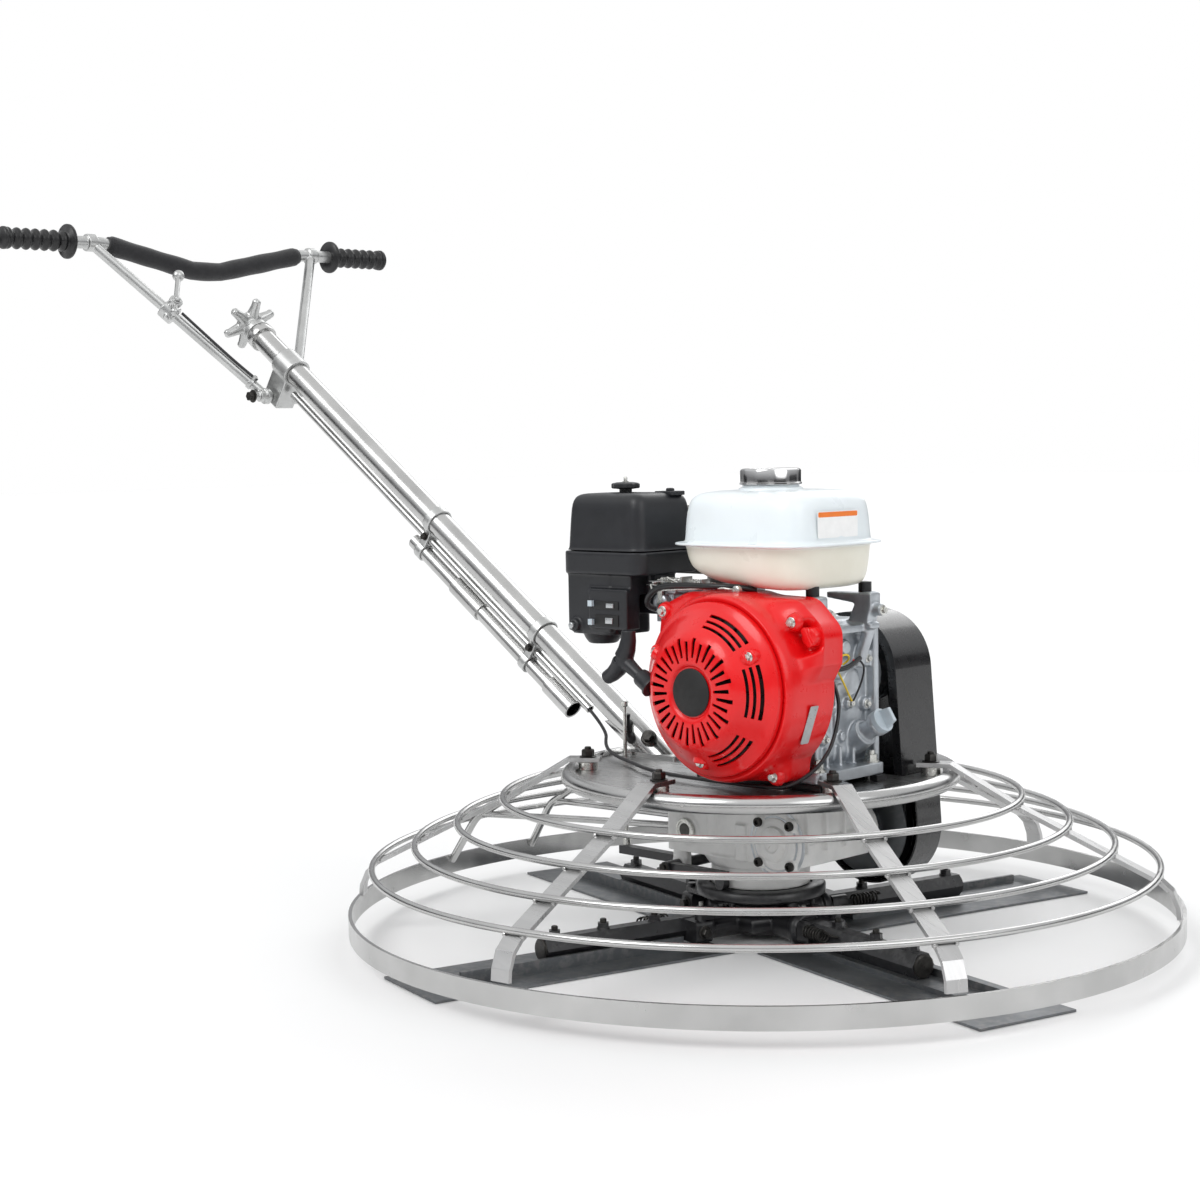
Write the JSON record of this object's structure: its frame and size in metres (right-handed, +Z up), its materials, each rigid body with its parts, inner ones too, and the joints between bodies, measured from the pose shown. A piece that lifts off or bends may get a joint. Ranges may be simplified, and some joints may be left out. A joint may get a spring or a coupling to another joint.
{
  "type": "walk-behind power trowel",
  "caption": "Walk-behind petrol power trowel: ringed guard, pitching float blades, worm gearbox, belt-driven petrol engine, sloped handle with handwheel and handlebar.",
  "frame": {"origin": "on the floor, on the rotor's vertical axis", "axes": "+Z up, +X forward away from the operator (the handle reaches towards -X), +Y towards the belt drive"},
  "size_m": [1.9437, 1.168, 1.0977],
  "materials": {
    "alloy": "as cast",
    "black_plastic": "fine grain",
    "black_steel": "satin black paint",
    "bright_steel": "polished stainless-look plated steel",
    "fastener": "zinc plated",
    "foam": "soft foam",
    "grey_plastic": "moulded",
    "raw_steel": "dull mill finish",
    "red_paint": "gloss red paint",
    "red_plastic": "moulded",
    "rubber": "matt",
    "silver": "polished casting",
    "tank_white": "moulded",
    "white_cast": "white painted casting"
  },
  "bodies": {
    "frame": {"outer_band": "bright_steel", "guard_ring_1": "bright_steel", "guard_ring_2": "bright_steel", "guard_ring_3": "bright_steel", "guard_ring_4": "bright_steel", "top_ring": "bright_steel", "deck_plate": "bright_steel", "guard_straps": "bright_steel", "strap_bolts": "fastener", "rear_stays": "bright_steel", "gearbox_case": "white_cast", "bearing_cover": "white_cast", "belt_guard": "black_steel", "drive_belt": "rubber", "engine_block": "alloy", "cylinder_head": "alloy", "engine_bolts": "fastener", "fan_shroud": "red_paint", "recoil_cover": "red_paint", "fuel_tank": "tank_white", "air_cleaner_cover": "black_plastic", "air_cleaner_body": "black_plastic", "carburettor": "alloy", "muffler": "raw_steel", "handle_tube": "bright_steel", "cable_conduit": "bright_steel", "lift_tube": "bright_steel", "handle_clamps": "bright_steel", "stop_wire": "rubber"},
    "crank": {"crankshaft": "raw_steel", "flywheel": "alloy"},
    "clutch_drum": {"clutch_pulley": "raw_steel"},
    "worm_input": {"input_shaft": "raw_steel"},
    "rotor": {"rotor_shaft": "raw_steel", "rotor_hub": "black_steel"},
    "arm_1": {"blade_arm_1": "black_steel", "blade_1": "raw_steel"},
    "arm_2": {"blade_arm_2": "black_steel", "blade_2": "raw_steel"},
    "arm_3": {"blade_arm_3": "black_steel", "blade_3": "raw_steel"},
    "arm_4": {"blade_arm_4": "black_steel", "blade_4": "raw_steel"},
    "collar": {"thrust_collar": "black_steel"},
    "yoke": {"pitch_yoke": "black_steel"},
    "pitch_link": {"pitch_rod": "fastener"},
    "handwheel": {"pitch_knob": "silver"},
    "handlebar": {"handlebar": "silver", "grips": "rubber", "foam_pad": "foam", "throttle_cable": "rubber"},
    "throttle": {"throttle_lever": "silver"},
    "starter_grip": {"recoil_handle": "black_plastic"},
    "choke": {"choke_lever": "grey_plastic"},
    "fuel_tap": {"fuel_lever": "grey_plastic"},
    "governor": {"governor_arm": "fastener"},
    "stop_switch": {"engine_switch": "red_plastic"},
    "tank_cap": {"fuel_cap": "bright_steel"},
    "oil_plug": {"oil_cap": "grey_plastic"},
    "filter_knob": {"air_cleaner_knob": "black_plastic"}
  },
  "joints": [
    {"name": "rotor_spin", "type": "hinge", "parent": "frame", "child": "rotor", "pos_m": [0, 0, 0], "axis": [0, 0, 1], "continuous": true},
    {"name": "worm_spin", "type": "hinge", "parent": "frame", "child": "worm_input", "pos_m": [0.1, 0, 0.153], "axis": [0, 1, 0], "continuous": true},
    {"name": "clutch_spin", "type": "hinge", "parent": "frame", "child": "clutch_drum", "pos_m": [0.1, 0, 0.376], "axis": [0, 1, 0], "continuous": true},
    {"name": "crank_spin", "type": "hinge", "parent": "frame", "child": "crank", "pos_m": [0.1, 0, 0.376], "axis": [0, 1, 0], "continuous": true},
    {"name": "handwheel_turn", "type": "hinge", "parent": "frame", "child": "handwheel", "pos_m": [-1.16999, 0, 0.90613], "axis": [-0.8251, 0, 0.565], "range_deg": [0, 3600]},
    {"name": "collar_slide", "type": "slide", "parent": "frame", "child": "collar", "axis": [0, 0, -1], "range_m": [0, 0.0118]},
    {"name": "yoke_tilt", "type": "hinge", "parent": "frame", "child": "yoke", "pos_m": [-0.1, 0, 0.096], "axis": [0, 1, 0], "range_deg": [0, 6.78]},
    {"name": "link_slide", "type": "slide", "parent": "frame", "child": "pitch_link", "axis": [0, 0, 1], "range_m": [0, 0.0159]},
    {"name": "blade_pitch_1", "type": "hinge", "parent": "rotor", "child": "arm_1", "pos_m": [0.04852, -0.0121, 0.026], "axis": [0.9703, -0.2419, 0], "range_deg": [-20, 0]},
    {"name": "blade_pitch_2", "type": "hinge", "parent": "rotor", "child": "arm_2", "pos_m": [0.0121, 0.04852, 0.026], "axis": [0.2419, 0.9703, 0], "range_deg": [-20, 0]},
    {"name": "blade_pitch_3", "type": "hinge", "parent": "rotor", "child": "arm_3", "pos_m": [-0.04852, 0.0121, 0.026], "axis": [-0.9703, 0.2419, 0], "range_deg": [-20, 0]},
    {"name": "blade_pitch_4", "type": "hinge", "parent": "rotor", "child": "arm_4", "pos_m": [-0.0121, -0.04852, 0.026], "axis": [-0.2419, -0.9703, 0], "range_deg": [-20, 0]},
    {"name": "handlebar_tilt", "type": "hinge", "parent": "frame", "child": "handlebar", "pos_m": [-1.11205, 0, 0.79374], "axis": [0, 1, 0], "range_deg": [-30, 20]},
    {"name": "throttle_turn", "type": "hinge", "parent": "handlebar", "child": "throttle", "pos_m": [-1.23192, -0.14595, 0.94458], "axis": [0.7829, 0, 0.6222], "range_deg": [0, 60]},
    {"name": "starter_pull", "type": "slide", "parent": "frame", "child": "starter_grip", "axis": [-0.8412, 0, 0.5408], "range_m": [0, 0.3], "stiffness_N_per_m": 12, "springref_m": -0.2},
    {"name": "choke_slide", "type": "slide", "parent": "frame", "child": "choke", "axis": [1, 0, 0], "range_m": [0, 0.014]},
    {"name": "fuel_slide", "type": "slide", "parent": "frame", "child": "fuel_tap", "axis": [1, 0, 0], "range_m": [0, 0.014]},
    {"name": "governor_swing", "type": "hinge", "parent": "frame", "child": "governor", "pos_m": [-0.052, -0.14, 0.478], "axis": [0, 1, 0], "range_deg": [-18, 18]},
    {"name": "stop_switch_turn", "type": "hinge", "parent": "frame", "child": "stop_switch", "pos_m": [0.222, -0.142, 0.447], "axis": [0, -1, 0], "range_deg": [-45, 0]},
    {"name": "tank_cap_turn", "type": "hinge", "parent": "frame", "child": "tank_cap", "pos_m": [0.084, -0.066, 0.64], "axis": [0, 0, 1], "range_deg": [0, 90]},
    {"name": "oil_plug_turn", "type": "hinge", "parent": "frame", "child": "oil_plug", "pos_m": [0.2073, 0.008, 0.3182], "axis": [0.8486, 0, 0.5291], "range_deg": [0, 720]},
    {"name": "filter_knob_turn", "type": "hinge", "parent": "frame", "child": "filter_knob", "pos_m": [-0.144, -0.114, 0.6303], "axis": [0, 0, 1], "range_deg": [0, 1080]}
  ],
  "couplings": [
    {"joint": "worm_spin", "follows": "rotor_spin", "ratio": -20},
    {"joint": "clutch_spin", "follows": "rotor_spin", "ratio": -34.359},
    {"joint": "collar_slide", "follows": "handwheel_turn", "m_per_rad": 0.0001878},
    {"joint": "yoke_tilt", "follows": "handwheel_turn", "ratio": 0.0018833},
    {"joint": "link_slide", "follows": "handwheel_turn", "m_per_rad": 0.00025306},
    {"joint": "blade_pitch_1", "follows": "handwheel_turn", "ratio": -0.0055556},
    {"joint": "blade_pitch_2", "follows": "handwheel_turn", "ratio": -0.0055556},
    {"joint": "blade_pitch_3", "follows": "handwheel_turn", "ratio": -0.0055556},
    {"joint": "blade_pitch_4", "follows": "handwheel_turn", "ratio": -0.0055556}
  ]
}
